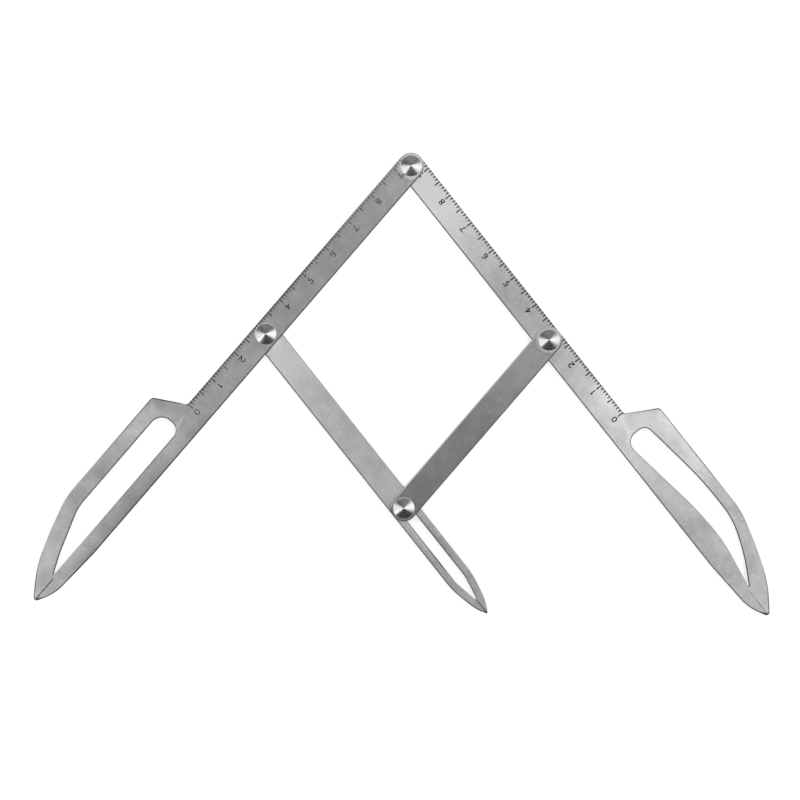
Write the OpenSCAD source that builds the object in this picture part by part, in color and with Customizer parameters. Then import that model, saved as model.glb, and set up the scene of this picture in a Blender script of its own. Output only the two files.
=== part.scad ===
// Three-point eyebrow caliper: two pointed arms and a central pointer on a parallelogram of four pivots.
// The apex pivot is on the Z axis, the tips point along -Y, and the rivet heads rest on Z = 0.

/* [Linkage] */
// Distance between neighbouring pivots, the same on all four sides of the parallelogram
pivot_span = 64; // [58:0.5:70]
// Reach of each arm from the apex pivot to its tip
arm_reach = 165.5; // [155:0.5:190]
// Reach of the pointer from the left middle pivot to its tip
pointer_reach = 102.8; // [92:0.2:120]
// Angle between the two arms as the tool lies at rest
rest_angle = 79.2; // [30:0.1:140]

/* [Bars] */
// Width of every bar
bar_w = 7.6; // [7:0.1:9]
// Thickness of every blade
blade_t = 1; // [0.8:0.05:1.5]

/* [Arm blades] */
// Distance from the apex pivot to the foot of the shoulder
shoulder_at = 94; // [90:0.5:98]
// Length of the sloping shoulder, measured along the bar
shoulder_run = 5.2; // [3:0.1:8]
// Distance of the blade's straight outer edge from the bar's centre line
blade_out = 12.95; // [11:0.05:15]
// Distance from the tip back to where the outer edge starts to fall
fall_back = 28.4; // [25:0.1:32]
// Distance from the tip back to the bend half way down the falling edge
bend_back = 17.9; // [15:0.1:20]
// Distance of that bend from the centre line
bend_out = 9.9; // [9:0.05:10.5]
// Distance from the tip back to the last bend of the falling edge
cheek_back = 7.7; // [6:0.1:9]
// Distance of the last bend from the centre line
cheek_out = 6.3; // [5.5:0.05:7]
// Distance from the tip back to where the inner edge turns in
heel_back = 21.5; // [16:0.5:25]
// Distance from the tip back to the last bend of the inner edge
toe_back = 5.3; // [4:0.1:6]
// Distance of that bend inwards from the centre line
toe_in = 2.9; // [2.6:0.05:3.1]
// Distance of the tip from the centre line
tip_out = 0.3; // [0:0.05:0.6]
// Radius of the rounded tips
tip_r = 0.9; // [0.6:0.05:1.2]

/* [Straight window of the left arm] */
// Distance from the shoulder's foot to the window's blunt end
straight_start = 6.9; // [5.5:0.1:9]
// Width of the rim between the window and the blade's straight edges
straight_rim = 4.7; // [4:0.1:5.2]
// Distance from the tip back to the bend of the falling edge
straight_bend_back = 15.2; // [13:0.1:16]
// Distance of that bend from the centre line
straight_bend_out = 3.7; // [3:0.05:4]
// Distance from the tip back to the window's sharp end
straight_end_back = 8.8; // [8.8:0.1:11]

/* [Leaf window of the right arm] */
// Distance from the shoulder's foot to the window's blunt end
leaf_start = 6.5; // [5.5:0.1:9]
// Width of the rim between the window's crest and the blade's straight outer edge
leaf_rim = 3.5; // [3:0.1:4.5]
// Distance from the shoulder's foot to the top of the upper edge's arch
leaf_crest_at = 29; // [22:0.5:32]
// Distance of the blunt end's upper corner from the centre line
leaf_brow_out = 6.5; // [5.8:0.05:6.8]
// Distance from the tip back to the bend of the falling upper edge
leaf_bend_back = 18.5; // [16:0.1:20]
// Distance of that bend from the centre line
leaf_bend_out = 5.9; // [5.2:0.05:6.1]
// Distance of the blunt end's lower corner inwards from the centre line
leaf_foot_in = 0.9; // [0.6:0.05:1.3]
// Distance from the shoulder's foot to the bend of the rising lower edge
leaf_belly_at = 33; // [25:0.5:36]
// Distance of that bend from the centre line
leaf_belly_out = 2.9; // [2.4:0.05:3.1]
// Distance from the tip back to the lower edge's crest
leaf_swell_back = 25.5; // [24:0.1:28]
// Distance of the lower edge's crest from the centre line
leaf_swell_out = 3.7; // [3.2:0.05:4.1]
// Distance from the tip back to the window's sharp end
leaf_end_back = 9.5; // [9:0.1:11]
// Distance of the sharp end from the centre line
leaf_end_out = 0.8; // [0.5:0.05:1.2]

/* [Pointer] */
// Distance from the bottom pivot to the start of the pointer's window
slot_start = 3; // [2.6:0.1:8]
// Width of the pointer's window
slot_w = 3.1; // [2.2:0.1:3.6]
// Distance from the tip back to where the pointer's edges start to close
taper_back = 11.5; // [9:0.1:14]
// Distance from the tip back to the bend of the closing edges
pointer_bend_back = 3.4; // [2.8:0.1:5]
// Distance of that bend from the pointer's centre line
pointer_bend_out = 2; // [1.8:0.05:2.3]
// Distance from the tip back to where the window's edges start to close
slot_taper_back = 12.6; // [10:0.1:15]
// Distance from the tip back to the window's sharp end
slot_end_back = 4.1; // [3.6:0.1:6]

/* [Marks] */
// Distance from the left arm's zero line to the shoulder's foot
left_zero_gap = 0.1; // [0.1:0.05:2]
// Distance from the right arm's zero line to the shoulder's foot
right_zero_gap = 0.35; // [0.1:0.05:2]
// Distance between two graduation lines
tick_pitch = 1; // [1:0.5:2]
// Width of the left arm's graduation lines
left_line = 0.28; // [0.15:0.01:0.4]
// Width of the right arm's graduation lines
right_line = 0.36; // [0.15:0.01:0.4]
// Length of a graduation line
tick_short = 0.95; // [0.6:0.05:1.3]
// Length of every fifth graduation line
tick_long = 1.9; // [1.5:0.1:2.2]
// Height of a numeral
digit_h = 1.85; // [1.5:0.05:1.9]
// Width of a numeral
digit_w = 1.35; // [1.1:0.05:1.4]
// Width of the strokes of the left arm's numerals
left_stroke = 0.27; // [0.15:0.01:0.35]
// Width of the strokes of the right arm's numerals
right_stroke = 0.32; // [0.15:0.01:0.35]
// Distance from the centre line to the middle of the left arm's numerals
left_digit_out = 0.3; // [0:0.05:0.9]
// Distance from the centre line to the middle of the right arm's numerals
right_digit_out = 0.55; // [0:0.05:0.9]
// Width of the index lines that lead to the tips
index_w = 0.26; // [0.15:0.01:0.4]
// Distance from an arm's tip back to the start of its index line
index_back = 8.3; // [6:0.1:8.6]
// Distance from the pointer's tip back to the start of its index line
pointer_index_back = 5; // [2.5:0.1:5.2]
// Distance from every tip back to the end of its index line
index_end_back = 0.6; // [0.5:0.05:2]
// Thickness of the printed marks
mark_t = 0.02; // [0.01:0.005:0.05]

/* [Pivots] */
// Diameter of the rivet's shank
shank_d = 3; // [2.4:0.1:3.4]
// Running clearance between the shank and the holes it passes, on the radius
running_gap = 0.03; // [0.02:0.01:0.08]
// Diameter of the rivet's flat head
head_d = 5.6; // [5.4:0.1:6.2]
// Thickness of the rivet's flat head
head_t = 0.8; // [0.6:0.05:1.2]
// Diameter of the spigot that the cap is pressed on
spigot_d = 2.2; // [1.6:0.1:2.3]
// Length of the spigot
spigot_h = 0.9; // [0.6:0.05:1]
// Diameter of the domed cap
cap_d = 6.2; // [5.6:0.1:6.8]
// Height of the cap's upright rim
cap_rim_h = 0.5; // [0.3:0.05:0.7]
// Full height of the cap
cap_h = 1.6; // [1.5:0.05:2.2]
// Diameter of the friction washer
washer_d = 6; // [5:0.1:6.8]
// Thickness of the friction washer
washer_t = 0.15; // [0.1:0.01:0.3]
// Outer diameter of the disc spring
spring_d = 5; // [4.6:0.1:5.4]
// Thickness of the disc spring's sheet
spring_t = 0.2; // [0.15:0.01:0.25]
// Height of the disc spring, from its outer rim to its inner rim
spring_h = 0.35; // [0.3:0.01:0.5]

/* [Hidden] */

// Height of each layer above the surface that the rivet heads rest on
lower_z = head_t + spring_h;
washer_z = lower_z + blade_t;
upper_z = washer_z + washer_t;
cap_z = upper_z + blade_t;

// The pivots, seen from above
half_angle = rest_angle / 2;
apex_at = [0, 0];
left_at = pivot_span * [-sin(half_angle), -cos(half_angle)];
right_at = pivot_span * [sin(half_angle), -cos(half_angle)];
bottom_at = left_at + right_at;

half_w = bar_w / 2;
hole_r = shank_d / 2 + running_gap;
tick_count = floor((shoulder_at - max(left_zero_gap, right_zero_gap)) / tick_pitch);
// Overrun of a cut past the face that it breaks through
over = 0.1;
// Largest gap between a rounded corner and its true arc
arc_error = 0.008;

// Corners of every outline as [distance along the bar, distance outwards, corner radius]
arm_corners = [
    [0, -half_w, 0],
    [arm_reach - heel_back, -half_w, 24],
    [arm_reach - toe_back, -toe_in, 14],
    [arm_reach + tip_r * 0.75, tip_out, tip_r],
    [arm_reach - cheek_back, cheek_out, 34],
    [arm_reach - bend_back, bend_out, 60],
    [arm_reach - fall_back, blade_out, 24],
    [shoulder_at + shoulder_run, blade_out, 1.3],
    [shoulder_at, half_w, 0.8],
    [0, half_w, 0]
];

straight_from = shoulder_at + straight_start;
straight_low = straight_rim - half_w;
straight_top = blade_out - straight_rim;
straight_corners = [
    [straight_from, straight_low, 2.8],
    [arm_reach - straight_end_back, straight_low, 0.15],
    [arm_reach - straight_bend_back, straight_bend_out, 12],
    [arm_reach - fall_back, straight_top, 16],
    [straight_from, straight_top, 4.4]
];

leaf_from = shoulder_at + leaf_start;
leaf_top = blade_out - leaf_rim;
leaf_corners = [
    [leaf_from, -leaf_foot_in, 4.2],
    [shoulder_at + leaf_belly_at, leaf_belly_out, 60],
    [arm_reach - leaf_swell_back, leaf_swell_out, 50],
    [arm_reach - leaf_end_back, leaf_end_out, 0.15],
    [arm_reach - leaf_bend_back, leaf_bend_out, 60],
    [arm_reach - fall_back, leaf_top, 26],
    [shoulder_at + leaf_crest_at, leaf_top, 130],
    [leaf_from, leaf_brow_out, 2.5]
];

pointer_corners = [
    [0, -half_w, 0],
    [pointer_reach - taper_back, -half_w, 22],
    [pointer_reach - pointer_bend_back, -pointer_bend_out, 22],
    [pointer_reach + tip_r * 0.27, 0, tip_r / 3],
    [pointer_reach - pointer_bend_back, pointer_bend_out, 22],
    [pointer_reach - taper_back, half_w, 22],
    [0, half_w, 0]
];

slot_from = pivot_span + slot_start;
slot_corners = [
    [slot_from, -slot_w / 2, 0.6],
    [pointer_reach - slot_taper_back, -slot_w / 2, 9],
    [pointer_reach - slot_end_back, 0, 0.3],
    [pointer_reach - slot_taper_back, slot_w / 2, 9],
    [slot_from, slot_w / 2, 0.6]
];

function plan(p) = [p[0], p[1]];
function unit(v) = v / norm(v);
function turned(v, a) = [v[0] * cos(a) - v[1] * sin(a), v[0] * sin(a) + v[1] * cos(a)];

// Points of one corner between its neighbours a and b, rounded as far as its edges have room
function corner(a, p, b) =
    let(
        to_a = unit(plan(a) - plan(p)),
        to_b = unit(plan(b) - plan(p)),
        half = acos(to_a * to_b) / 2,
        room = min(norm(plan(a) - plan(p)), norm(plan(b) - plan(p))) / 2,
        cut = min(p[2] / tan(half), room),
        r = cut * tan(half),
        centre = plan(p) + unit(to_a + to_b) * r / sin(half),
        side = to_a[1] * to_b[0] - to_a[0] * to_b[1] > 0 ? 1 : -1,
        turn = side * (180 - 2 * half),
        steps = max(2, ceil(abs(turn) / (2 * acos(1 - arc_error / r))))
    )
    p[2] == 0
        ? [plan(p)]
        : [for (i = [0:steps]) centre + turned(plan(p) + to_a * cut - centre, turn * i / steps)];

function rounded(rows) =
    let(n = len(rows))
    [for (i = [0:n - 1]) each corner(rows[(i + n - 1) % n], rows[i], rows[(i + 1) % n])];

function arc(centre, r, from, to, steps = 10) =
    [
        for (i = [0:steps])
            let(a = from + (to - from) * i / steps)
            centre + r * [cos(a), sin(a)]
    ];

// Sideways step of half a line's width at point i of a path, mitred at its bends
function side_step(path, i, w) =
    let(
        last = len(path) - 1,
        before = unit(i > 0 ? path[i] - path[i - 1] : path[1] - path[0]),
        after = unit(i < last ? path[i + 1] - path[i] : path[last] - path[last - 1]),
        mid = unit(before + after)
    )
    [-mid[1], mid[0]] * w / 2 / (mid * after);

// A path drawn as a line of one width
function line(path, w) =
    let(last = len(path) - 1)
    concat(
        [for (i = [0:last]) path[i] + side_step(path, i, w)],
        [for (i = [last:-1:0]) path[i] - side_step(path, i, w)]
    );

// A closed loop of one line width, as wide and high as given
function oval(w, h, steps = 24) =
    [for (i = [0:steps - 1]) [w / 2 * cos(360 * i / steps), h / 2 * sin(360 * i / steps)]];

module ring(y, w, h, line_w) {
    translate([0, y])
        difference() {
            polygon(oval(w, h));
            polygon(oval(w - 2 * line_w, h - 2 * line_w));
        }
}

module stroke(path, w) {
    polygon(line(path, w));
}

// A numeral centred on the origin and upright along +Y, with its strokes placed as shares of its size
module digit(n, line_w) {
    x = (digit_w - line_w) / 2;
    y = (digit_h - line_w) / 2;
    head = digit_h / 2;
    side = digit_w / 2;
    bowl_d = (digit_h + 0.8 * line_w) / 2;
    bowl_y = (digit_h - bowl_d) / 2;
    bowl_r = (bowl_d - line_w) / 2;
    if (n == 0) ring(0, digit_w, digit_h, line_w);
    if (n == 1) {
        stroke([[0, head], [0, -head]], line_w);
        stroke([[-x * 0.7, y * 0.5], [0, y]], line_w);
    }
    if (n == 2) {
        stroke(concat(arc([0, y - x], x, 170, -30), [[-x, -y]]), line_w);
        stroke([[-side, -y], [side, -y]], line_w);
    }
    if (n == 3) {
        stroke(arc([0, bowl_y], bowl_r, 150, -105), line_w);
        stroke(arc([0, -bowl_y], bowl_r, 105, -150), line_w);
    }
    if (n == 4) {
        stroke([[x * 0.4, head], [x * 0.4, -head]], line_w);
        stroke([[x * 0.4, y], [-x, -y * 0.4]], line_w);
        stroke([[-side, -y * 0.4], [side, -y * 0.4]], line_w);
    }
    if (n == 5) {
        stroke([[side, y], [-x * 0.8, y], [-x * 0.8, -y * 0.25]], line_w);
        stroke(arc([-x * 0.1, -bowl_y], bowl_r, 130, -140), line_w);
    }
    if (n == 6) {
        // The tail leaves the bowl on the middle of the bowl's line
        tail = [x * cos(150), bowl_r * sin(150) - bowl_y];
        ring(-bowl_y, digit_w, bowl_d, line_w);
        stroke(concat([tail], arc([0, y + tail[0]], -tail[0], 180, 40)), line_w);
    }
    if (n == 7) stroke([[-side, y], [x, y], [-x * 0.2, -head]], line_w);
    if (n == 8) {
        ring(bowl_y, 0.9 * digit_w, bowl_d, line_w);
        ring(-bowl_y, digit_w, bowl_d, line_w);
    }
    if (n == 9) rotate(180) digit(6, line_w);
}

// Every arm's shape is drawn along +X, outwards along +Y, and then turned into place
module to_right() {
    rotate(half_angle - 90) children();
}

module to_left() {
    mirror([1, 0, 0]) to_right() children();
}

module holes(places) {
    for (x = places) translate([x, 0]) circle(r = hole_r, $fn = 48);
}

module arm_plate(window) {
    difference() {
        union() {
            circle(r = half_w, $fn = 72);
            polygon(rounded(arm_corners));
        }
        polygon(rounded(window));
        holes([0, pivot_span]);
    }
}

// Graduation lines from the zero line back to the apex pivot
module ticks(zero_gap, line_w) {
    for (i = [0:tick_count]) {
        tick = i % 5 == 0 ? tick_long : tick_short;
        translate([shoulder_at - zero_gap - i * tick_pitch - line_w / 2, half_w - tick])
            square([line_w, tick]);
    }
}

// Numerals stand with their feet towards the graduated edge, one at every tenth line
module numerals(zero_gap, line_w, out, mirrored) {
    for (n = [0:min(9, floor(tick_count / 10))])
        translate([shoulder_at - zero_gap - n * 10 * tick_pitch, out])
            rotate(180)
                mirror([mirrored ? 1 : 0, 0])
                    digit(n, line_w);
}

module index_line(from, to, out) {
    translate([from, out - index_w / 2]) square([to - from, index_w]);
}

module arm_index() {
    index_line(arm_reach - index_back, arm_reach - index_end_back, tip_out);
}

module pointer_index() {
    index_line(pointer_reach - pointer_index_back, pointer_reach - index_end_back, 0);
}

// Marks are printed on a blade's face, and keep clear of the caps and washers on the pivots
mark_gap = 0.05;
mark_free_r = max(cap_d, washer_d) / 2 + mark_gap;

module printed(face_z) {
    color([0.09, 0.09, 0.1])
        translate([0, 0, face_z])
            linear_extrude(mark_t)
                difference() {
                    children();
                    for (x = [0, pivot_span]) translate([x, 0]) circle(r = mark_free_r, $fn = 72);
                }
}

module blade(z) {
    translate([0, 0, z]) linear_extrude(blade_t) children();
}

module left_arm() {
    color([0.6, 0.6, 0.61])
        to_left() blade(upper_z) arm_plate(straight_corners);
}

module right_arm() {
    color([0.74, 0.74, 0.75])
        to_right() blade(lower_z) arm_plate(leaf_corners);
}

module pointer_link() {
    color([0.68, 0.68, 0.69])
        translate(left_at)
            to_right()
                blade(lower_z)
                    difference() {
                        union() {
                            circle(r = half_w, $fn = 72);
                            polygon(rounded(pointer_corners));
                        }
                        polygon(rounded(slot_corners));
                        holes([0, pivot_span]);
                    }
}

module right_link() {
    color([0.55, 0.55, 0.56])
        translate(right_at)
            to_left()
                blade(upper_z)
                    difference() {
                        union() {
                            for (x = [0, pivot_span]) translate([x, 0]) circle(r = half_w, $fn = 72);
                            translate([0, -half_w]) square([pivot_span, bar_w]);
                        }
                        holes([0, pivot_span]);
                    }
}

module left_graduations() {
    to_left() printed(cap_z) ticks(left_zero_gap, left_line);
}

module right_graduations() {
    to_right() printed(washer_z) ticks(right_zero_gap, right_line);
}

module left_numerals() {
    to_left() printed(cap_z) numerals(left_zero_gap, left_stroke, left_digit_out, true);
}

module right_numerals() {
    to_right() printed(washer_z) numerals(right_zero_gap, right_stroke, right_digit_out, false);
}

module left_index_line() {
    to_left() printed(cap_z) arm_index();
}

module right_index_line() {
    to_right() printed(washer_z) arm_index();
}

module pointer_index_line() {
    translate(left_at) to_right() printed(washer_z) pointer_index();
}

// Turned cap: upright rim, small chamfer, then a shallow dome that comes to a point
cap_chamfer = 0.12;
press_gap = 0.01;
dome_foot_r = cap_d / 2 - cap_chamfer;
dome_foot_z = cap_rim_h + cap_chamfer;
dome_steps = 8;
// How far the dome swells out over a plain cone, as a share of its rise
dome_swell = 0.12;
dome_profile = [
    for (i = [0:dome_steps])
        let(s = i / dome_steps)
        [dome_foot_r * (1 - s), dome_foot_z + (cap_h - dome_foot_z) * s * (1 + dome_swell * (1 - s))]
];

module cap(at) {
    color([0.8, 0.8, 0.81])
        translate([at[0], at[1], cap_z])
            difference() {
                rotate_extrude($fn = 72)
                    polygon(concat([[0, 0], [cap_d / 2, 0], [cap_d / 2, cap_rim_h]], dome_profile));
                translate([0, 0, -over])
                    cylinder(r = spigot_d / 2 + press_gap, h = spigot_h + press_gap + over, $fn = 36);
            }
}

// Rivet: flat chamfered head, shank through both blades, spigot in the cap
head_chamfer = 0.2;

module rivet(at) {
    color([0.7, 0.7, 0.71])
        translate([at[0], at[1], 0])
            rotate_extrude($fn = 72)
                polygon([
                    [0, 0],
                    [head_d / 2 - head_chamfer, 0],
                    [head_d / 2, head_chamfer],
                    [head_d / 2, head_t],
                    [shank_d / 2, head_t],
                    [shank_d / 2, cap_z],
                    [spigot_d / 2, cap_z],
                    [spigot_d / 2, cap_z + spigot_h],
                    [0, cap_z + spigot_h]
                ]);
}

module washer(at) {
    color([0.78, 0.6, 0.32])
        translate([at[0], at[1], washer_z])
            difference() {
                cylinder(d = washer_d, h = washer_t, $fn = 72);
                translate([0, 0, -over]) cylinder(r = hole_r, h = washer_t + 2 * over, $fn = 48);
            }
}

// Disc spring: a flat cone that bears on the rivet's head at its rim and on the blade at its bore
module disc_spring(at) {
    color([0.45, 0.46, 0.48])
        translate([at[0], at[1], head_t])
            rotate_extrude($fn = 72)
                polygon([
                    [hole_r, spring_h - spring_t],
                    [spring_d / 2, 0],
                    [spring_d / 2, spring_t],
                    [hole_r, spring_h]
                ]);
}

left_arm();
right_arm();
pointer_link();
right_link();
left_graduations();
right_graduations();
left_numerals();
right_numerals();
left_index_line();
right_index_line();
pointer_index_line();
cap(apex_at);  // apex_cap
cap(left_at);  // left_cap
cap(right_at);  // right_cap
cap(bottom_at);  // bottom_cap
rivet(apex_at);  // apex_rivet
rivet(left_at);  // left_rivet
rivet(right_at);  // right_rivet
rivet(bottom_at);  // bottom_rivet
washer(apex_at);  // apex_washer
washer(left_at);  // left_washer
washer(right_at);  // right_washer
washer(bottom_at);  // bottom_washer
disc_spring(apex_at);  // apex_spring
disc_spring(left_at);  // left_spring
disc_spring(right_at);  // right_spring
disc_spring(bottom_at);  // bottom_spring
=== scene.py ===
"""Looks of the eyebrow ruler: brushed blades, turned caps and rivets, printed marks and a light tent."""

import math

import bmesh
import bpy
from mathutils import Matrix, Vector


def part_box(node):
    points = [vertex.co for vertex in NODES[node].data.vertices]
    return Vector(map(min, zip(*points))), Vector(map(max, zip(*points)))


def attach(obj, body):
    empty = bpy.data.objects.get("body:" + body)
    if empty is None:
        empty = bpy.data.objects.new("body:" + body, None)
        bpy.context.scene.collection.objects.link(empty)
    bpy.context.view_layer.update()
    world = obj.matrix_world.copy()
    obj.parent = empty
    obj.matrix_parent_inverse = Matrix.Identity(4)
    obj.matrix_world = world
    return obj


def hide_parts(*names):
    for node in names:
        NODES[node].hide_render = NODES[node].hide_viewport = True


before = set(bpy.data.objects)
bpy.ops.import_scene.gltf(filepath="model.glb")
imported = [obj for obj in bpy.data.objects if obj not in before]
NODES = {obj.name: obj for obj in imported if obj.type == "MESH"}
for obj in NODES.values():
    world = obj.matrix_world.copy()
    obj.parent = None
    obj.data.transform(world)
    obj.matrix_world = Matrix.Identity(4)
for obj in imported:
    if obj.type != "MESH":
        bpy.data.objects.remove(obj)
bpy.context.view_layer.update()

PIVOTS = ("apex", "left", "right", "bottom")
BODY_OF_PIVOT = {"apex": "left_arm", "left": "left_arm", "right": "right_link", "bottom": "right_link"}
# Printed marks and the state of their ink
MARKS = (
    ("left_graduations", "worn"),
    ("right_graduations", "dense"),
    ("left_numerals", "worn"),
    ("right_numerals", "dense"),
    ("left_index_line", "dense"),
    ("right_index_line", "faint"),
    ("pointer_index_line", "dense"),
)
# Each blade as its CAD node, its new piece, the pivots that its length runs from and towards, and its tone
# The tones are painted light and shade: the blades are one steel, made lighter and darker as their
# reflections differ
BLADES = (
    ("left_arm", "left_arm_blade", "apex", "left", 0.67),
    ("right_arm", "right_arm_blade", "apex", "right", 0.81),
    ("pointer_link", "pointer_blade", "left", "bottom", 0.69),
    ("right_link", "right_link_blade", "right", "bottom", 0.43),
)
# Painted reflection: where a blade's colour is brightened or dulled for the light it reflects there, as
# millimetres across and along it, reach and how much
PAINTED_SHEEN_SPOTS = {
    "left_arm": (
        (0, 4, 20, 0.1),
        (0, 72, 20, 0.14),
        (0, 92, 36, -0.1),
        (-10, 108, 18, 0.44),
        (-2, 126, 26, -0.14),
        (-8, 154, 18, 0.24),
    ),
    "right_arm": (
        (0, 8, 38, 0.55),
        (0, 52, 28, -0.16),
        (0, 76, 14, -0.2),
        (2, 92, 20, 0.2),
        (0, 142, 36, -0.14),
        (-1, 149, 9, -0.1),
    ),
    "pointer_link": ((0, 2, 24, 0.4), (0, 92, 26, -0.06)),
    "right_link": ((0, 2, 26, 0.32), (0, 32, 12, 0.08), (0, 54, 26, -0.08)),
}
# The graduated arms, as their scale's CAD node, its new piece, body and pivots
SCALES = (
    ("left_graduations", "left_scale", "left_arm", "apex", "left"),
    ("right_graduations", "right_scale", "right_arm", "apex", "right"),
)
MM = 0.001
# Two points nearer than this are one
TINY = 1e-7
# Faces that turn by less than this are one flat face
FLAT_ANGLE = math.radians(0.2)
# Faces that meet at less than this shade as one smooth surface
SMOOTH_ANGLE = math.radians(30)
# Point on the floor under the ruler's middle
RULER_MIDDLE = Vector((0.0, -0.07, 0.0))

bl_info = {
    "name": "Eyebrow Ruler",
    "version": (1, 0, 0),
    "blender": (4, 5, 0),
    "location": "View3D > Sidebar > Eyebrow Ruler",
    "description": "Dresses the packed eyebrow ruler with its finished pieces and sets its studio",
    "category": "Object",
}


def middle(node):
    """Middle of a CAD node's box."""
    low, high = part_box(node)
    return (low + high) / 2


def size_of(node):
    """Extents of a CAD node's box."""
    low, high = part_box(node)
    return high - low


class BladeFinish(bpy.types.PropertyGroup):
    """Sizes and colours of the four steel blades."""

    edge_width: bpy.props.FloatProperty(
        name="Edge width",
        description="Width of the tumbled edge round every blade and window, seen from above",
        default=0.33 * MM,
        min=0.02 * MM,
        max=0.45 * MM,
        subtype="DISTANCE",
        unit="LENGTH",
    )
    edge_drop: bpy.props.FloatProperty(
        name="Edge drop",
        description="Drop of the tumbled edge below the blade's face",
        default=0.25 * MM,
        min=0.02 * MM,
        max=0.35 * MM,
        subtype="DISTANCE",
        unit="LENGTH",
    )
    steel: bpy.props.FloatVectorProperty(
        name="Steel",
        description="Colour of the brushed faces",
        default=(0.8, 0.8, 0.805),
        size=3,
        subtype="COLOR",
    )
    # The cut edge is darker partly as painted shade along the edges
    edge_steel: bpy.props.FloatVectorProperty(
        name="Cut edge",
        description="Colour of the sheared edges",
        default=(0.28, 0.28, 0.285),
        size=3,
        subtype="COLOR",
    )
    # Painted highlight: the steel's colour is lightened round the first rivet of a blade
    seat_highlight: bpy.props.FloatProperty(
        name="Painted seat highlight",
        description="How much brighter the steel is round the first rivet of a blade",
        default=0.6,
        min=0.0,
        max=1.0,
        subtype="FACTOR",
    )
    ink: bpy.props.FloatVectorProperty(
        name="Ink",
        description="Colour of the printed scale",
        default=(0.004, 0.004, 0.0045),
        size=3,
        subtype="COLOR",
    )
    worn_ink: bpy.props.FloatVectorProperty(
        name="Worn ink",
        description="Colour of the scale where the ink is thin",
        default=(0.05, 0.05, 0.052),
        size=3,
        subtype="COLOR",
    )
    faint_ink: bpy.props.FloatVectorProperty(
        name="Faint ink",
        description="Colour of the line that is almost rubbed off",
        default=(0.2, 0.2, 0.205),
        size=3,
        subtype="COLOR",
    )


class PivotFinish(bpy.types.PropertyGroup):
    """Sizes and colours of the caps, rivets, washers and springs."""

    cap_diameter: bpy.props.FloatProperty(
        name="Cap diameter",
        description="Outer diameter of the domed caps",
        default=size_of("apex_cap").x,
        subtype="DISTANCE",
        unit="LENGTH",
    )
    groove_count: bpy.props.IntProperty(
        name="Turning marks",
        description="Number of turning marks from the middle of a cap to its rim",
        default=34,
        min=10,
        max=80,
    )
    cap_steel: bpy.props.FloatVectorProperty(
        name="Cap steel",
        description="Colour of the turned caps",
        default=(0.74, 0.74, 0.745),
        size=3,
        subtype="COLOR",
    )
    rivet_steel: bpy.props.FloatVectorProperty(
        name="Rivet steel",
        description="Colour of the turned rivets",
        default=(0.52, 0.52, 0.53),
        size=3,
        subtype="COLOR",
    )
    brass: bpy.props.FloatVectorProperty(
        name="Brass",
        description="Colour of the friction washers",
        default=(0.62, 0.42, 0.17),
        size=3,
        subtype="COLOR",
    )
    spring_steel: bpy.props.FloatVectorProperty(
        name="Spring steel",
        description="Colour of the blued disc springs",
        default=(0.12, 0.13, 0.16),
        size=3,
        subtype="COLOR",
    )


class StudioSettings(bpy.types.PropertyGroup):
    """Camera, floor and light of the studio."""

    camera_height: bpy.props.FloatProperty(
        name="Camera height",
        description="Height of the camera above the blades",
        default=0.9,
        subtype="DISTANCE",
        unit="LENGTH",
    )
    focal_length: bpy.props.FloatProperty(
        name="Focal length",
        description="Focal length of the camera, in millimetres",
        default=140.65,
        subtype="DISTANCE_CAMERA",
        unit="CAMERA",
    )
    camera_turn: bpy.props.FloatProperty(
        name="Camera turn",
        description="Turn of the camera about its line of sight",
        default=math.radians(1.186),
        subtype="ANGLE",
        unit="ROTATION",
    )
    tent_radius: bpy.props.FloatProperty(
        name="Tent radius",
        description="Radius of the light tent round the ruler",
        default=0.6,
        subtype="DISTANCE",
        unit="LENGTH",
    )
    sky: bpy.props.FloatProperty(
        name="Room light",
        description="Strength of the even light of the room",
        default=0.75,
        min=0.0,
        max=2.0,
    )
    key_power: bpy.props.FloatProperty(
        name="Key lamp",
        description="Power of the soft lamp above the ruler, in watts",
        default=1.2,
        min=0.0,
        subtype="POWER",
        unit="POWER",
    )


def deselect():
    """Nothing selected and nothing active, in object mode."""
    if bpy.context.mode != "OBJECT":
        bpy.ops.object.mode_set(mode="OBJECT")
    bpy.ops.object.select_all(action="DESELECT")
    bpy.context.view_layer.objects.active = None


def pick(piece):
    """The one selected and active object."""
    deselect()
    piece.select_set(True)
    bpy.context.view_layer.objects.active = piece


def settle(piece):
    """Puts a finished piece's place in its mesh."""
    pick(piece)
    bpy.ops.object.transform_apply(location=True, rotation=True, scale=True)


def copy_of(node, name):
    """A CAD node's mesh as a new piece."""
    piece = bpy.data.objects.new(name, NODES[node].data.copy())
    piece.data.name = name
    bpy.context.scene.collection.objects.link(piece)
    return piece


def dress(node, material):
    """A CAD node that stays, in its finished material."""
    NODES[node].data.materials.clear()
    NODES[node].data.materials.append(material)


def place(piece, node, body):
    """A finished piece stands in for its CAD node, which is hidden, and rides on the body."""
    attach(piece, body)
    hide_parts(node)


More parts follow.
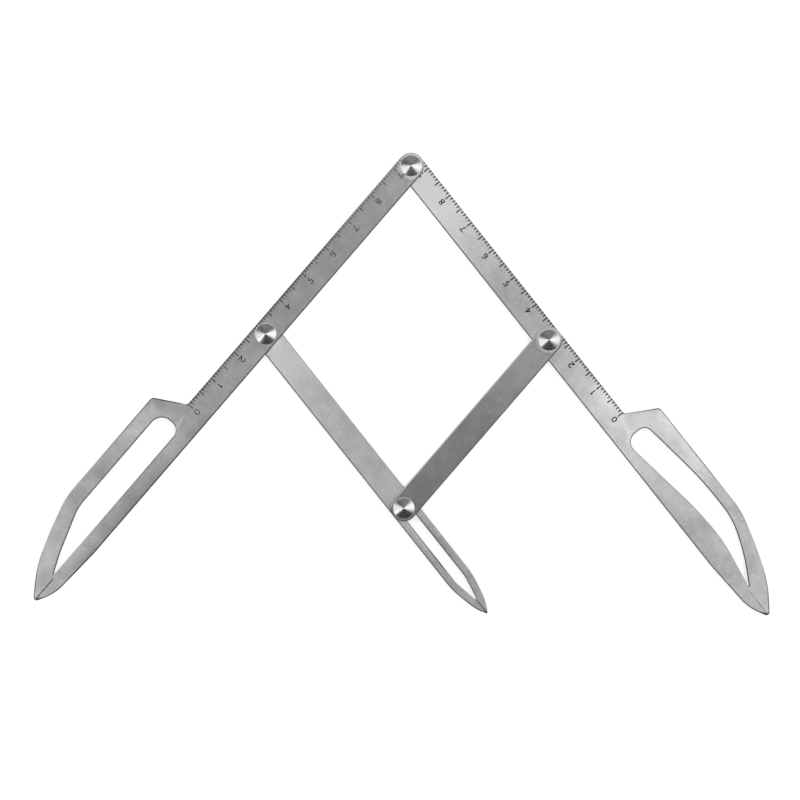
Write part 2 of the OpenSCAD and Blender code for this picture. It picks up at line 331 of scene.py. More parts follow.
class Nodes:
    """Short calls that add and join the nodes of one tree."""

    def __init__(self, tree):
        self.tree = tree

    def add(self, kind, **values):
        """A new node with its properties set and its input sockets set or linked by name."""
        sockets = values.pop("sockets", {})
        made = self.tree.nodes.new(kind)
        for name, value in values.items():
            setattr(made, name, value)
        for name, value in sockets.items():
            self.feed(made.inputs[name], value)
        return made

    def feed(self, socket, value):
        """Links an output to the socket, or writes a plain value on it."""
        if isinstance(value, bpy.types.NodeSocket):
            self.tree.links.new(value, socket)
        else:
            socket.default_value = value

    def math(self, operation, a, b=0.0, c=0.0):
        """Result of one math step."""
        made = self.tree.nodes.new("ShaderNodeMath")
        made.operation = operation
        for socket, value in zip(made.inputs, (a, b, c)):
            self.feed(socket, value)
        return made.outputs[0]

    def span(self, value, low, high, to_low=0.0, to_high=1.0, smooth=False):
        """A value moved from one range to another."""
        made = self.tree.nodes.new("ShaderNodeMapRange")
        made.interpolation_type = "SMOOTHSTEP" if smooth else "LINEAR"
        for name, number in (
            ("Value", value),
            ("From Min", low),
            ("From Max", high),
            ("To Min", to_low),
            ("To Max", to_high),
        ):
            self.feed(made.inputs[name], number)
        return made.outputs["Result"]

    def over_noise(self, noise, low=0.0, high=1.0):
        """A noise's middle range stretched from low to high."""
        return self.span(noise, 0.3, 0.7, low, high)

    def over_clouds(self, clouds, low=0.0, high=1.0):
        """The range of handled steel's clouds stretched from low to high."""
        return self.span(clouds, -0.4, 0.4, low, high)

    def blend(self, share, a, b, kind="MIX"):
        """Two colours mixed, or multiplied."""
        made = self.tree.nodes.new("ShaderNodeMix")
        made.data_type = "RGBA"
        made.blend_type = kind
        self.feed(made.inputs["Factor"], share)
        self.feed(made.inputs[6], a)
        self.feed(made.inputs[7], b)
        return made.outputs[2]

    def shade(self, share, colour, dark, light):
        """A colour between a darker and a lighter share of itself."""
        darker = [dark * c for c in colour]
        lighter = [min(1.0, light * c) for c in colour]
        return self.blend(share, opaque(darker), opaque(lighter))

    def background_rays(self):
        """1 on rays to the eye, in gloss and through glass, which see the white background."""
        rays = self.add("ShaderNodeLightPath")
        unseen = self.math("MAXIMUM", rays.outputs["Is Glossy Ray"], rays.outputs["Is Transmission Ray"])
        return self.math("MAXIMUM", rays.outputs["Is Camera Ray"], unseen)


def opaque(colour):
    """A colour as four channels."""
    return (*colour, 1.0)


def new_group(name, inputs, outputs):
    """An empty node group with its sockets, each given as (name, socket type, default)."""
    group = bpy.data.node_groups.new(name, "ShaderNodeTree")
    for label, kind, default in inputs:
        socket = group.interface.new_socket(name=label, in_out="INPUT", socket_type=kind)
        if default is not None:
            socket.default_value = default
    for label, kind in outputs:
        group.interface.new_socket(name=label, in_out="OUTPUT", socket_type=kind)
    source = group.nodes.new("NodeGroupInput")
    sink = group.nodes.new("NodeGroupOutput")
    return group, Nodes(group), source, sink


# Streaks of the brushing: turns a millimetre across and along the blade, detail, roughness and share
STREAKS = (
    ((9.0, 0.28, 1.0), 3.0, 0.6, 0.65),
    ((2.4, 0.05, 1.0), 2.0, 0.5, 0.35),
)
STREAK_DEPTH = 0.02 * MM
# The seat of the first rivet: the millimetres from its middle between which it fades, and its depth
SEAT_CORE = 3.4
SEAT_RIM = 4.4
SEAT_DEPTH = 0.06 * MM


def grain_group():
    """Fine brushed streaks along V of a blade's own map, which is laid out in millimetres."""
    group, n, source, sink = new_group(
        "Brushed grain",
        (
            ("Place", "NodeSocketVector", None),
            ("Bump", "NodeSocketFloat", 0.1),
        ),
        (("Streaks", "NodeSocketFloat"), ("Seat", "NodeSocketFloat"), ("Normal", "NodeSocketVector")),
    )
    streaks = 0.0
    for turns, detail, roughness, share in STREAKS:
        drawn = n.add("ShaderNodeMapping", sockets={"Vector": source.outputs["Place"], "Scale": turns})
        noise = n.add(
            "ShaderNodeTexNoise",
            noise_dimensions="2D",
            sockets={"Vector": drawn.outputs[0], "Scale": 1.0, "Detail": detail, "Roughness": roughness},
        )
        streaks = n.math("MULTIPLY_ADD", noise.outputs[0], share, streaks)
    # The steel is pressed down a little round the first rivet; the blade's colour is lightened over the
    # same seat as a painted highlight
    reach = n.add("ShaderNodeVectorMath", operation="LENGTH", sockets={0: source.outputs["Place"]})
    seat = n.span(reach.outputs["Value"], SEAT_CORE, SEAT_RIM, 1.0, 0.0, smooth=True)
    dish = n.add("ShaderNodeBump", sockets={"Strength": 1.0, "Distance": SEAT_DEPTH, "Height": seat})
    bump = n.add(
        "ShaderNodeBump",
        sockets={
            "Strength": source.outputs["Bump"],
            "Distance": STREAK_DEPTH,
            "Height": streaks,
            "Normal": dish.outputs[0],
        },
    )
    n.feed(sink.inputs["Streaks"], streaks)
    n.feed(sink.inputs["Seat"], seat)
    n.feed(sink.inputs["Normal"], bump.outputs[0])
    return group


# Clouds on handled steel, as their number a metre and the share of each size
CLOUDS = ((45.0, 0.9), (260.0, 0.7), (1300.0, 0.55))
# Pits: cells a metre, the share of cells that have none, and a pit's core and rim as shares of its cell
PIT_CELLS = 420.0
PIT_FREE = 0.9
PIT_CORE = 0.05
PIT_RIM = 0.16


def mottle_group():
    """Cloudy tone of handled steel, at three sizes, and small dark pits."""
    group, n, source, sink = new_group(
        "Handled steel",
        (("Place", "NodeSocketVector", None), ("Pits", "NodeSocketFloat", 0.5)),
        (("Clouds", "NodeSocketFloat"), ("Pits", "NodeSocketFloat")),
    )
    clouds = 0.0
    for scale, share in CLOUDS:
        noise = n.add(
            "ShaderNodeTexNoise",
            sockets={"Vector": source.outputs["Place"], "Scale": scale, "Detail": 2.0, "Roughness": 0.6},
        )
        clouds = n.math("MULTIPLY_ADD", n.math("SUBTRACT", noise.outputs[0], 0.5), share, clouds)
    cells = n.add("ShaderNodeTexVoronoi", sockets={"Vector": source.outputs["Place"], "Scale": PIT_CELLS})
    rare = n.add("ShaderNodeSeparateColor", sockets={"Color": cells.outputs["Color"]})
    chosen = n.math("GREATER_THAN", rare.outputs[0], PIT_FREE)
    spot = n.span(cells.outputs["Distance"], PIT_CORE, PIT_RIM, 1.0, 0.0, smooth=True)
    pits = n.math("MULTIPLY", n.math("MULTIPLY", spot, chosen), source.outputs["Pits"])
    n.feed(sink.inputs["Clouds"], clouds)
    n.feed(sink.inputs["Pits"], pits)
    return group


TURNING_DEPTH = 0.01 * MM


def turning_group():
    """Concentric turning marks along U of a turned piece's own map, and their bump."""
    group, n, source, sink = new_group(
        "Turning marks",
        (
            ("Place", "NodeSocketVector", None),
            ("Count", "NodeSocketFloat", 30.0),
            ("Bump", "NodeSocketFloat", 0.2),
        ),
        (("Marks", "NodeSocketFloat"), ("Normal", "NodeSocketVector")),
    )
    parts = n.add("ShaderNodeSeparateXYZ", sockets={"Vector": source.outputs["Place"]})
    across = n.math("MULTIPLY", parts.outputs[0], source.outputs["Count"])
    noise = n.add(
        "ShaderNodeTexNoise",
        noise_dimensions="1D",
        sockets={"W": across, "Scale": 1.0, "Detail": 2.0, "Roughness": 0.7},
    )
    bump = n.add(
        "ShaderNodeBump",
        sockets={
            "Strength": source.outputs["Bump"],
            "Distance": TURNING_DEPTH,
            "Height": noise.outputs[0],
        },
    )
    n.feed(sink.inputs["Marks"], noise.outputs[0])
    n.feed(sink.inputs["Normal"], bump.outputs[0])
    return group


def group_of(name, maker):
    """A node group, built at its first use."""
    return bpy.data.node_groups.get(name) or maker()


def new_material(name):
    """An empty material with its Principled shader, and calls that add nodes to it."""
    material = bpy.data.materials.new(name)
    material.use_nodes = True
    n = Nodes(material.node_tree)
    return material, n, material.node_tree.nodes["Principled BSDF"]


def handled_steel(n):
    """Clouds and pits of handled steel, placed in a material."""
    place_map = n.add("ShaderNodeTexCoord")
    return n.add(
        "ShaderNodeGroup",
        node_tree=group_of("Handled steel", mottle_group),
        sockets={"Place": place_map.outputs["Object"]},
    )


def lay_along(n, shader, uv_map, anisotropy):
    """Gloss that is drawn out along the map, as fine lines in metal draw it."""
    tangent = n.add("ShaderNodeTangent", direction_type="UV_MAP", uv_map=uv_map)
    n.feed(shader.inputs["Tangent"], tangent.outputs[0])
    shader.inputs["Anisotropic"].default_value = anisotropy


# How far streaks and clouds brighten or dull the steel, and how far a pit darkens it
STREAK_TONE = 0.05
CLOUD_TONE = 0.24
PIT_TONE = 0.5


def brushed_steel(finish, name, painted_light_share, spots):
    """Satin steel, brushed along the blade, its colour scaled by a share of painted light, with brighter
    and duller spots of painted reflection.
    """
    material, n, shader = new_material(name)
    grain_map = n.add("ShaderNodeUVMap", uv_map="Grain")
    grain = n.add(
        "ShaderNodeGroup",
        node_tree=group_of("Brushed grain", grain_group),
        sockets={"Place": grain_map.outputs[0], "Bump": 0.25},
    )
    streaks = grain.outputs["Streaks"]
    handled = handled_steel(n)
    clouds = handled.outputs["Clouds"]
    tone = n.math(
        "ADD",
        n.over_noise(streaks, -STREAK_TONE, STREAK_TONE),
        n.over_clouds(clouds, -CLOUD_TONE, CLOUD_TONE),
    )
    # Painted reflection: each spot brightens or dulls the colour of the blade
    for across, along, reach, lift in spots:
        away = n.add(
            "ShaderNodeVectorMath",
            operation="DISTANCE",
            sockets={0: grain_map.outputs[0], 1: (across, along, 0.0)},
        )
        spot = n.span(away.outputs["Value"], 0.0, float(reach), lift, 0.0, smooth=True)
        tone = n.math("ADD", tone, spot)
    # Painted highlight: the colour is lightened over the seat of the first rivet
    tone = n.math("MULTIPLY_ADD", grain.outputs["Seat"], finish.seat_highlight, tone)
    pitted = n.math("SUBTRACT", tone, n.math("MULTIPLY", handled.outputs["Pits"], PIT_TONE))
    bright = n.math("ADD", 1.0, pitted)
    grey = n.add("ShaderNodeCombineColor", sockets={"Red": bright, "Green": bright, "Blue": bright})
    # Painted light: the blade's own share of the steel colour
    steel = opaque([painted_light_share * c for c in finish.steel])
    n.feed(shader.inputs["Base Color"], n.blend(1.0, steel, grey.outputs[0], "MULTIPLY"))
    roughness = n.math(
        "ADD",
        n.over_noise(streaks, 0.28, 0.38),
        n.over_clouds(clouds, 0.04, -0.04),
    )
    n.feed(shader.inputs["Roughness"], roughness)
    n.feed(shader.inputs["Normal"], grain.outputs["Normal"])
    shader.inputs["Metallic"].default_value = 1.0
    lay_along(n, shader, "Grain", anisotropy=0.75)
    return material


def edge_steel(finish):
    """Sheared edge, tumbled to a slope, darker than the faces: duller sheared steel, and partly painted
    shade along the edges.
    """
    material, n, shader = new_material("blade_steel_edge")
    clouds = handled_steel(n).outputs["Clouds"]
    shade = n.shade(n.over_clouds(clouds), finish.edge_steel, dark=0.85, light=1.15)
    n.feed(shader.inputs["Base Color"], shade)
    n.feed(shader.inputs["Roughness"], n.over_clouds(clouds, 0.14, 0.24))
    shader.inputs["Metallic"].default_value = 1.0
    return material


# Span along the arms over which a worn scale is rubbed off towards the apex
RUB_START = -60 * MM
RUB_END = -15 * MM


def printed_ink(name, full, thinned, rubbed=0.0):
    """Matt ink, thinner in places and rubbed towards the apex."""
    material, n, shader = new_material(name)
    place_map = n.add("ShaderNodeTexCoord")
    noise = n.add(
        "ShaderNodeTexNoise",
        sockets={"Vector": place_map.outputs["Object"], "Scale": 900.0, "Detail": 3.0},
    )
    patches = n.span(noise.outputs[0], 0.5, 0.75, smooth=True)
    parts = n.add("ShaderNodeSeparateXYZ", sockets={"Vector": place_map.outputs["Object"]})
    wear = n.span(parts.outputs[1], RUB_START, RUB_END, 0.0, rubbed, smooth=True)
    thin = n.math("MAXIMUM", patches, wear)
    n.feed(shader.inputs["Base Color"], n.blend(thin, opaque(full), opaque(thinned)))
    n.feed(shader.inputs["Roughness"], n.over_noise(noise.outputs[0], 0.5, 0.7))
    shader.inputs["Specular IOR Level"].default_value = 0.15
    return material


def turned_steel(name, colour, marks, roughness, anisotropy):
    """Steel turned on a lathe, with its marks round the piece's axis."""
    material, n, shader = new_material(name)
    turning_map = n.add("ShaderNodeUVMap", uv_map="Turning")
    turning = n.add(
        "ShaderNodeGroup",
        node_tree=group_of("Turning marks", turning_group),
        sockets={"Place": turning_map.outputs[0], "Count": float(marks), "Bump": 0.35},
    )
    lines = turning.outputs["Marks"]
    shade = n.shade(n.over_noise(lines), colour, dark=0.86, light=1.1)
    n.feed(shader.inputs["Base Color"], shade)
    n.feed(shader.inputs["Roughness"], n.over_noise(lines, roughness - 0.04, roughness + 0.06))
    n.feed(shader.inputs["Normal"], turning.outputs["Normal"])
    shader.inputs["Metallic"].default_value = 1.0
    lay_along(n, shader, "Turning", anisotropy)
    return material


ROLLED_DEPTH = 0.01 * MM


def rolled_metal(name, colour, roughness):
    """Rolled sheet, as the washers and springs are pressed from."""
    material, n, shader = new_material(name)
    place_map = n.add("ShaderNodeTexCoord")
    noise = n.add(
        "ShaderNodeTexNoise",
        sockets={"Vector": place_map.outputs["Object"], "Scale": 700.0, "Detail": 4.0, "Roughness": 0.6},
    )
    skin = noise.outputs[0]
    shade = n.shade(n.over_noise(skin), colour, dark=0.75, light=1.2)
    n.feed(shader.inputs["Base Color"], shade)
    n.feed(shader.inputs["Roughness"], n.over_noise(skin, roughness - 0.08, roughness + 0.08))
    bump = n.add("ShaderNodeBump", sockets={"Strength": 0.15, "Distance": ROLLED_DEPTH, "Height": skin})
    n.feed(shader.inputs["Normal"], bump.outputs[0])
    shader.inputs["Metallic"].default_value = 1.0
    return material


def directions(start, towards):
    """Directions along a blade and across it, in the plane of the blades."""
    along = (towards.xy - start.xy).normalized()
    return along, Vector((-along.y, along.x))


def lay_grain(piece, start, towards):
    """Maps a blade in millimetres: U across its grain and V along it."""
    along, across = directions(start, towards)
    grain = piece.data.uv_layers.new(name="Grain")
    for loop in piece.data.loops:
        point = piece.data.vertices[loop.vertex_index].co.xy - start.xy
        grain.data[loop.index].uv = (point.dot(across) / MM, point.dot(along) / MM)


def lay_turning(piece, centre, radius):
    """Maps a turned piece: U from its axis to its rim and V round it."""
    turning = piece.data.uv_layers.new(name="Turning")
    for face in piece.data.polygons:
        first = math.atan2(face.center.y - centre.y, face.center.x - centre.x)
        for index in face.loop_indices:
            spot = piece.data.vertices[piece.data.loops[index].vertex_index].co.xy - centre.xy
            angle = math.atan2(spot.y, spot.x) if spot.length > TINY else first
            turn = (angle - first + math.pi) % (2 * math.pi) - math.pi
            turning.data[index].uv = (spot.length / radius, (first + turn) / (2 * math.pi))


def is_flat(face):
    """Whether a face is one of a blade's two flat ones."""
    return abs(face.normal.z) > 0.999


def merge_triangles(piece):
    """Joins a CAD copy's loose triangles, and leaves the piece in edit mode."""
    pick(piece)
    bpy.ops.object.mode_set(mode="EDIT")
    bpy.ops.mesh.select_mode(type="VERT")
    bpy.ops.mesh.select_all(action="SELECT")
    bpy.ops.mesh.remove_doubles(threshold=TINY)


def tumble_rims(piece, width, drop):
    """Slopes the edges where a blade's flat faces meet its walls."""
    merge_triangles(piece)
    bpy.ops.mesh.select_mode(type="FACE")
    bpy.ops.mesh.dissolve_limited(angle_limit=FLAT_ANGLE)
    mesh = bmesh.from_edit_mesh(piece.data)
    bpy.ops.mesh.select_all(action="DESELECT")
    bpy.ops.mesh.select_mode(type="EDGE")
    for edge in mesh.edges:
        flat = [is_flat(face) for face in edge.link_faces]
        edge.select_set(len(flat) == 2 and flat[0] != flat[1])
    bmesh.update_edit_mesh(piece.data)
    bpy.ops.mesh.bevel(offset=width, segments=1, affect="EDGES", clamp_overlap=False, loop_slide=False)
    bpy.ops.mesh.select_all(action="DESELECT")
    bpy.ops.mesh.select_mode(type="FACE")
    mesh = bmesh.from_edit_mesh(piece.data)
    for face in mesh.faces:
        face.select_set(is_flat(face))
    bmesh.update_edit_mesh(piece.data)
    bpy.ops.mesh.quads_convert_to_tris(quad_method="BEAUTY", ngon_method="BEAUTY")
    bpy.ops.object.mode_set(mode="OBJECT")
    # The bevel went down the walls as far as it went in, so its feet move up to the drop
    heights = [vertex.co.z for vertex in piece.data.vertices]
    middle_height = (min(heights) + max(heights)) / 2
    half = max(heights) - middle_height
    for vertex in piece.data.vertices:
        rise = vertex.co.z - middle_height
        if abs(rise) < half - width / 2:
            vertex.co.z = middle_height + math.copysign(half - drop, rise)


def finish_shading(piece):
    """Smooth where a surface turns gently, and flat where it is flat or sloped."""
    pick(piece)
    bpy.ops.object.shade_smooth_by_angle(angle=SMOOTH_ANGLE)
    weigh = piece.modifiers.new("Flat faces", "WEIGHTED_NORMAL")
    weigh.keep_sharp = True
    weigh.weight = 100
    bpy.ops.object.modifier_apply(modifier=weigh.name)


def turned(name, centre, rings, steps):
    """A piece turned from a disc, which is drawn up through rings of (radius, height) to its middle."""
    deselect()
    radius, height = rings[0]
    bpy.ops.mesh.primitive_circle_add(
        vertices=steps,
        radius=radius,
        fill_type="NGON",
        location=(centre.x, centre.y, height),
    )
    piece = bpy.context.active_object
    piece.name = name
    piece.data.name = name
    bpy.ops.object.mode_set(mode="EDIT")
    bpy.ops.mesh.select_all(action="SELECT")
    for wide, high in rings[1:]:
        bpy.ops.mesh.extrude_region_move(TRANSFORM_OT_translate={"value": (0, 0, high - height)})
        share = wide / radius
        bpy.ops.transform.resize(value=(share, share, 1), center_override=(centre.x, centre.y, high))
        radius, height = wide, high
    bpy.ops.mesh.merge(type="CENTER")
    bpy.ops.mesh.select_all(action="SELECT")
    bpy.ops.mesh.normals_make_consistent(inside=False)
    bpy.ops.object.mode_set(mode="OBJECT")
    settle(piece)
    return piece


def cap_rings(low, high, radius):
    """Rings of a cap: upright rim, small chamfer, and a shallow dome that ends almost in a point."""
    lip = 0.06 * MM
    rim = low + 0.5 * MM
    chamfer = 0.08 * MM
    foot = rim + chamfer
    dome_radius = radius - chamfer
    rise = high - foot
    steps = 14
    swell = 0.12
    rings = [(radius - lip, low), (radius, low + lip), (radius, rim), (dome_radius, foot)]
    # A ring close to the foot keeps the dome apart from the chamfer
    rings.append((dome_radius - 0.02 * MM, foot + 0.009 * MM))
    for i in range(1, steps):
        share = i / steps
        rings.append((dome_radius * (1 - share), foot + rise * share * (1 + swell * (1 - share))))
    rings.append((0.02 * MM, high - 0.004 * MM))
    return rings


def rivet_rings(low, high, radius):
    """Rings of a rivet, from its flat head up its shank to the end of its spigot."""
    rounding = 0.2 * MM
    head = low + 0.8 * MM
    burr = 0.05 * MM
    shank = 1.5 * MM
    spigot = 1.1 * MM
    shoulder = high - 0.9 * MM
    return [
        (radius - rounding, low),
        (radius - 0.06 * MM, low + 0.12 * MM),
        (radius, low + rounding),
        (radius, head - burr),
        (radius - burr, head),
        (shank, head),
        (shank, shoulder),
        (spigot, shoulder),
        (spigot, high),
        (0.3 * MM, high),
    ]


def outward_of(start, towards):
    """Direction from an arm's middle to its graduated edge, in the plane of the blades."""
    along, across = directions(start, towards)
    return across if across.x * along.x > 0 else -across


def wrap_marks(piece, start, outward, width, drop):
    """Lets the ends of the graduation lines follow the blade's sloped edge down."""
    edge = max((vertex.co.xy - start.xy).dot(outward) for vertex in piece.data.vertices)
    brow = edge - width
    merge_triangles(piece)
    cut = start.xy + outward * brow
    bpy.ops.mesh.bisect(plane_co=(*cut, 0.0), plane_no=(*outward, 0.0))
    bpy.ops.object.mode_set(mode="OBJECT")
    for vertex in piece.data.vertices:
        over = (vertex.co.xy - start.xy).dot(outward) - brow
        vertex.co.z -= drop * max(0.0, over) / width


class EYEBROW_OT_blades(bpy.types.Operator):
    """Build the four brushed blades with sloped edges"""

    bl_idname = "eyebrow.blades"
    bl_label = "Blades"

    def execute(self, context):
        finish = context.scene.eyebrow_blades
        edge = edge_steel(finish)
        for node, name, start, towards, tone in BLADES:
            brushed = brushed_steel(finish, f"blade_steel_{node}", tone, PAINTED_SHEEN_SPOTS[node])
            piece = copy_of(node, name)
            tumble_rims(piece, finish.edge_width, finish.edge_drop)
            piece.data.materials.clear()
            piece.data.materials.append(brushed)
            piece.data.materials.append(edge)
            for face in piece.data.polygons:
                face.material_index = 0 if is_flat(face) else 1
            lay_grain(piece, middle(f"{start}_cap"), middle(f"{towards}_cap"))
            finish_shading(piece)
            place(piece, node, node)
        return {"FINISHED"}


class EYEBROW_OT_marks(bpy.types.Operator):
    """Ink the printed graduations, numerals and index lines"""

    bl_idname = "eyebrow.marks"
    bl_label = "Marks"

    def execute(self, context):
        finish = context.scene.eyebrow_blades
        inks = {
            "dense": printed_ink("black_print_dense", finish.ink, finish.worn_ink),
            "worn": printed_ink("black_print_worn", finish.ink, finish.faint_ink, rubbed=0.35),
            "faint": printed_ink("black_print_faint", finish.faint_ink, finish.steel),
        }
        for node, ink in MARKS:
            dress(node, inks[ink])
        for node, name, body, start, towards in SCALES:
            piece = copy_of(node, name)
            first = middle(f"{start}_cap")
            outward = outward_of(first, middle(f"{towards}_cap"))
            wrap_marks(piece, first, outward, finish.edge_width, finish.edge_drop)
            place(piece, node, body)
        return {"FINISHED"}


class EYEBROW_OT_caps(bpy.types.Operator):
    """Turn the four domed caps"""

    bl_idname = "eyebrow.caps"
    bl_label = "Caps"

    def execute(self, context):
        finish = context.scene.eyebrow_pivots
        steel = turned_steel(
            "cap_steel_turned",
            finish.cap_steel,
            finish.groove_count,
            roughness=0.22,
            anisotropy=0.85,
        )
        for pivot in PIVOTS:
            low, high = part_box(f"{pivot}_cap")
            centre = (low + high) / 2
            radius = finish.cap_diameter / 2
            piece = turned(f"{pivot}_cap_turned", centre, cap_rings(low.z, high.z, radius), steps=96)
            lay_turning(piece, centre, radius)
            piece.data.materials.append(steel)
            finish_shading(piece)
            place(piece, f"{pivot}_cap", BODY_OF_PIVOT[pivot])
        return {"FINISHED"}


class EYEBROW_OT_rivets(bpy.types.Operator):
    """Turn the four flat-headed rivets"""

    bl_idname = "eyebrow.rivets"
    bl_label = "Rivets"

    def execute(self, context):
        finish = context.scene.eyebrow_pivots
        steel = turned_steel(
            "rivet_steel_turned",
            finish.rivet_steel,
            finish.groove_count,
            roughness=0.3,
            anisotropy=0.6,
        )
        for pivot in PIVOTS:
            low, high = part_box(f"{pivot}_rivet")
            centre = (low + high) / 2
            radius = (high.x - low.x) / 2
            piece = turned(f"{pivot}_rivet_turned", centre, rivet_rings(low.z, high.z, radius), steps=72)
            lay_turning(piece, centre, radius)
            piece.data.materials.append(steel)
            finish_shading(piece)
            place(piece, f"{pivot}_rivet", BODY_OF_PIVOT[pivot])
        return {"FINISHED"}


class EYEBROW_OT_springs(bpy.types.Operator):
    """Finish the brass washers and the blued disc springs"""

    bl_idname = "eyebrow.springs"
    bl_label = "Washers and springs"

    def execute(self, context):
        finish = context.scene.eyebrow_pivots
        brass = rolled_metal("washer_brass_rolled", finish.brass, roughness=0.32)
        blued = rolled_metal("spring_steel_blued", finish.spring_steel, roughness=0.4)
        for pivot in PIVOTS:
            dress(f"{pivot}_washer", brass)
            dress(f"{pivot}_spring", blued)
        return {"FINISHED"}


# What the white card shows beyond the light that falls on it
FLOOR_GLOW = 0.5


def floor_material():
    """White card that shows as the background and keeps the ruler's shadow."""
    material, n, shader = new_material("studio_floor")
    tree = material.node_tree
    tree.nodes.remove(shader)
    card = n.add("ShaderNodeBsdfDiffuse", sockets={"Color": (0.8, 0.8, 0.8, 1.0)})
    glow = n.add("ShaderNodeEmission", sockets={"Color": (1.0, 1.0, 1.0, 1.0)})
    n.feed(glow.inputs["Strength"], n.math("MULTIPLY", n.background_rays(), FLOOR_GLOW))
    both = n.add("ShaderNodeAddShader")
    tree.links.new(card.outputs[0], both.inputs[0])
    tree.links.new(glow.outputs[0], both.inputs[1])
    tree.links.new(both.outputs[0], tree.nodes["Material Output"].inputs["Surface"])
    return material


# Soft panels of the tent: turn, lean from straight up, where each starts and stops fading, and strength
TENT_PANELS = (
    (5, 34, 6, 27, 1.55),
    (192, 34, 6, 27, 1.3),
    (215, 47, 2, 8, 3.0),
    (90, 42, 12, 34, 0.14),
    (0, 0, 6, 24, 0.68),
)
# Low bands of light round the back and front of the tent, the heights between which they fade upwards, and
# half the width over which they meet at the sides
BACK_BAND = 1.5
FRONT_BAND = 0.4
BAND_TOP = 0.56
BAND_FULL = 0.38
BAND_MEETING = 0.12


def tent_material():
    """Cloth of the light tent: its soft panels, over a band that is bright behind and dim in front."""
    material, n, shader = new_material("studio_tent")
    tree = material.node_tree
    tree.nodes.remove(shader)
    spot = n.add("ShaderNodeTexCoord")
    away = n.add("ShaderNodeVectorMath", operation="NORMALIZE", sockets={0: spot.outputs["Object"]})
    light = 0.0
    for turn, lean, narrow, wide, strength in TENT_PANELS:
        compass = math.radians(turn)
        tilt = math.radians(lean)
        towards = (
            math.sin(tilt) * math.cos(compass),
            math.sin(tilt) * math.sin(compass),
            math.cos(tilt),
        )
        near = n.add(
            "ShaderNodeVectorMath",
            operation="DOT_PRODUCT",
            sockets={0: away.outputs["Vector"], 1: towards},
        )
        glow = n.span(
            near.outputs["Value"],
            math.cos(math.radians(wide)),
            math.cos(math.radians(narrow)),
            0.0,
            strength,
            smooth=True,
        )
        light = n.math("ADD", glow, light)
    parts = n.add("ShaderNodeSeparateXYZ", sockets={"Vector": away.outputs["Vector"]})
    low = n.span(parts.outputs[2], BAND_TOP, BAND_FULL, smooth=True)
    around = n.span(parts.outputs[1], -BAND_MEETING, BAND_MEETING, FRONT_BAND, BACK_BAND, smooth=True)
    band = n.math("MULTIPLY", low, around)
    cloth = n.add("ShaderNodeEmission", sockets={"Strength": n.math("ADD", light, band)})
    tree.links.new(cloth.outputs[0], tree.nodes["Material Output"].inputs["Surface"])
    return material


TENT_MIDDLE = (0.0, -0.0675, 0.0)
# Gap between the floor and the rivet heads, so that they don't share one face
FLOOR_GAP = 0.02 * MM
# Point of the ruler that the camera stands over, and the height of the blades there
CAMERA_OVER = (-1.756 * MM, -67.495 * MM)
BLADE_TOP = 3 * MM


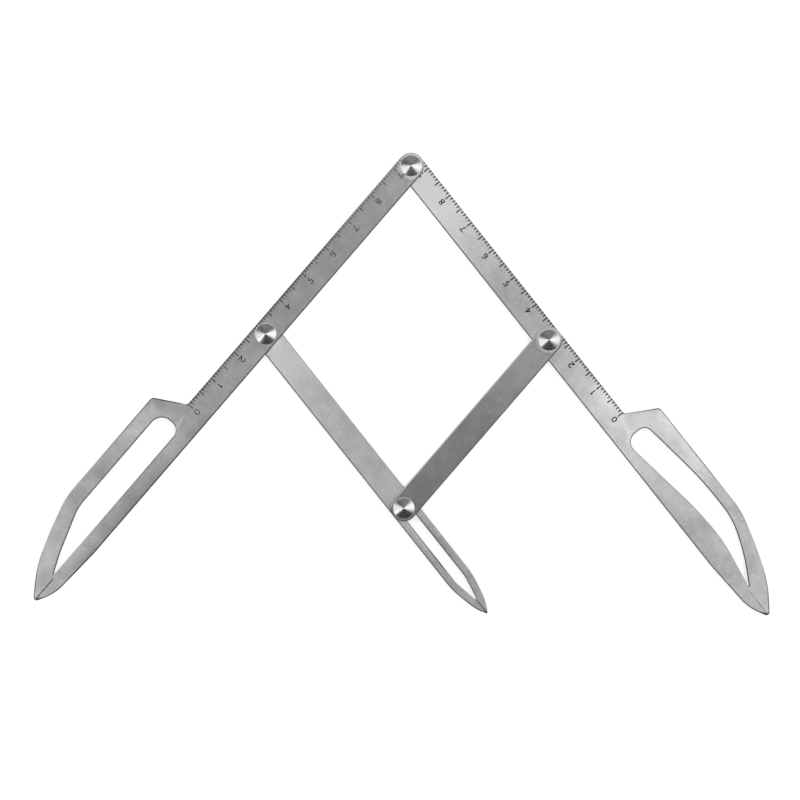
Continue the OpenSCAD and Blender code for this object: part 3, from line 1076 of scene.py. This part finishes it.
class EYEBROW_OT_stage(bpy.types.Operator):
    """Set the floor, the light tent, the lamp and the camera"""

    bl_idname = "eyebrow.stage"
    bl_label = "Studio"

    def execute(self, context):
        studio = context.scene.eyebrow_studio
        self.floor()
        self.tent(studio)
        self.lamp(studio)
        self.room(context.scene, studio)
        self.camera(context.scene, studio)
        return {"FINISHED"}

    def floor(self):
        """A wide white floor just under the rivet heads."""
        deselect()
        under = RULER_MIDDLE - Vector((0.0, 0.0, FLOOR_GAP))
        bpy.ops.mesh.primitive_plane_add(size=8, location=under)
        floor = bpy.context.active_object
        floor.name = "studio_floor"
        floor.data.materials.append(floor_material())
        settle(floor)

    def tent(self, studio):
        """A half dome that only the metal's gloss sees."""
        deselect()
        bpy.ops.mesh.primitive_uv_sphere_add(segments=48, ring_count=24, radius=studio.tent_radius)
        tent = bpy.context.active_object
        tent.name = "studio_tent"
        bpy.ops.object.mode_set(mode="EDIT")
        bpy.ops.mesh.select_all(action="SELECT")
        bpy.ops.mesh.bisect(plane_co=(0, 0, MM), plane_no=(0, 0, 1), clear_inner=True)
        bpy.ops.object.mode_set(mode="OBJECT")
        bpy.ops.object.shade_smooth()
        tent.location = TENT_MIDDLE
        tent.data.materials.append(tent_material())
        tent.visible_camera = False
        tent.visible_diffuse = False
        tent.visible_transmission = False
        tent.visible_shadow = False

    def lamp(self, studio):
        """A broad soft lamp, above and a little behind."""
        data = bpy.data.lights.new("studio_key", "AREA")
        data.shape = "DISK"
        data.size = 0.5
        data.energy = studio.key_power
        lamp = bpy.data.objects.new("studio_key", data)
        lamp.location = (0.25, 0.25, 0.7)
        lamp.rotation_euler = (RULER_MIDDLE - lamp.location).to_track_quat("-Z", "Y").to_euler()
        lamp.visible_camera = False
        lamp.visible_glossy = False
        bpy.context.scene.collection.objects.link(lamp)

    def room(self, scene, studio):
        """A white room to the eye and in the gloss, and an even light for the rest."""
        world = bpy.data.worlds.new("studio_room")
        scene.world = world
        world.use_nodes = True
        n = Nodes(world.node_tree)
        back = world.node_tree.nodes["Background"]
        back.inputs["Color"].default_value = (1.0, 1.0, 1.0, 1.0)
        n.feed(back.inputs["Strength"], n.span(n.background_rays(), 0.0, 1.0, studio.sky, 1.0))

    def camera(self, scene, studio):
        """The camera looks straight down on the ruler, as in the photograph."""
        data = bpy.data.cameras.new("studio_camera")
        data.lens = studio.focal_length
        data.sensor_width = 36.0
        camera = bpy.data.objects.new("studio_camera", data)
        camera.location = (*CAMERA_OVER, studio.camera_height + BLADE_TOP)
        camera.rotation_euler = (0.0, 0.0, studio.camera_turn)
        scene.collection.objects.link(camera)
        scene.camera = camera
        scene.view_settings.view_transform = "Standard"


class EYEBROW_PT_panel(bpy.types.Panel):
    """Sizes, colours and steps of the eyebrow ruler"""

    bl_idname = "EYEBROW_PT_panel"
    bl_label = "Eyebrow Ruler"
    bl_space_type = "VIEW_3D"
    bl_region_type = "UI"
    bl_category = "Eyebrow Ruler"

    def draw(self, context):
        layout = self.layout
        scene = context.scene
        for title, group in (
            ("Blades", scene.eyebrow_blades),
            ("Pivots", scene.eyebrow_pivots),
            ("Studio", scene.eyebrow_studio),
        ):
            box = layout.box()
            box.label(text=title)
            for name in group.__annotations__:
                box.prop(group, name)
        for step in STEPS:
            layout.operator(step.bl_idname)


STEPS = (
    EYEBROW_OT_stage,
    EYEBROW_OT_blades,
    EYEBROW_OT_marks,
    EYEBROW_OT_caps,
    EYEBROW_OT_rivets,
    EYEBROW_OT_springs,
)
CLASSES = (BladeFinish, PivotFinish, StudioSettings, *STEPS, EYEBROW_PT_panel)


def register():
    for item in CLASSES:
        bpy.utils.register_class(item)
    bpy.types.Scene.eyebrow_blades = bpy.props.PointerProperty(type=BladeFinish)
    bpy.types.Scene.eyebrow_pivots = bpy.props.PointerProperty(type=PivotFinish)
    bpy.types.Scene.eyebrow_studio = bpy.props.PointerProperty(type=StudioSettings)


def unregister():
    del bpy.types.Scene.eyebrow_studio
    del bpy.types.Scene.eyebrow_pivots
    del bpy.types.Scene.eyebrow_blades
    for item in reversed(CLASSES):
        bpy.utils.unregister_class(item)


def main():
    register()
    bpy.ops.eyebrow.stage()
    bpy.ops.eyebrow.blades()
    bpy.ops.eyebrow.marks()
    bpy.ops.eyebrow.caps()
    bpy.ops.eyebrow.rivets()
    bpy.ops.eyebrow.springs()


if __name__ == "__main__":
    main()
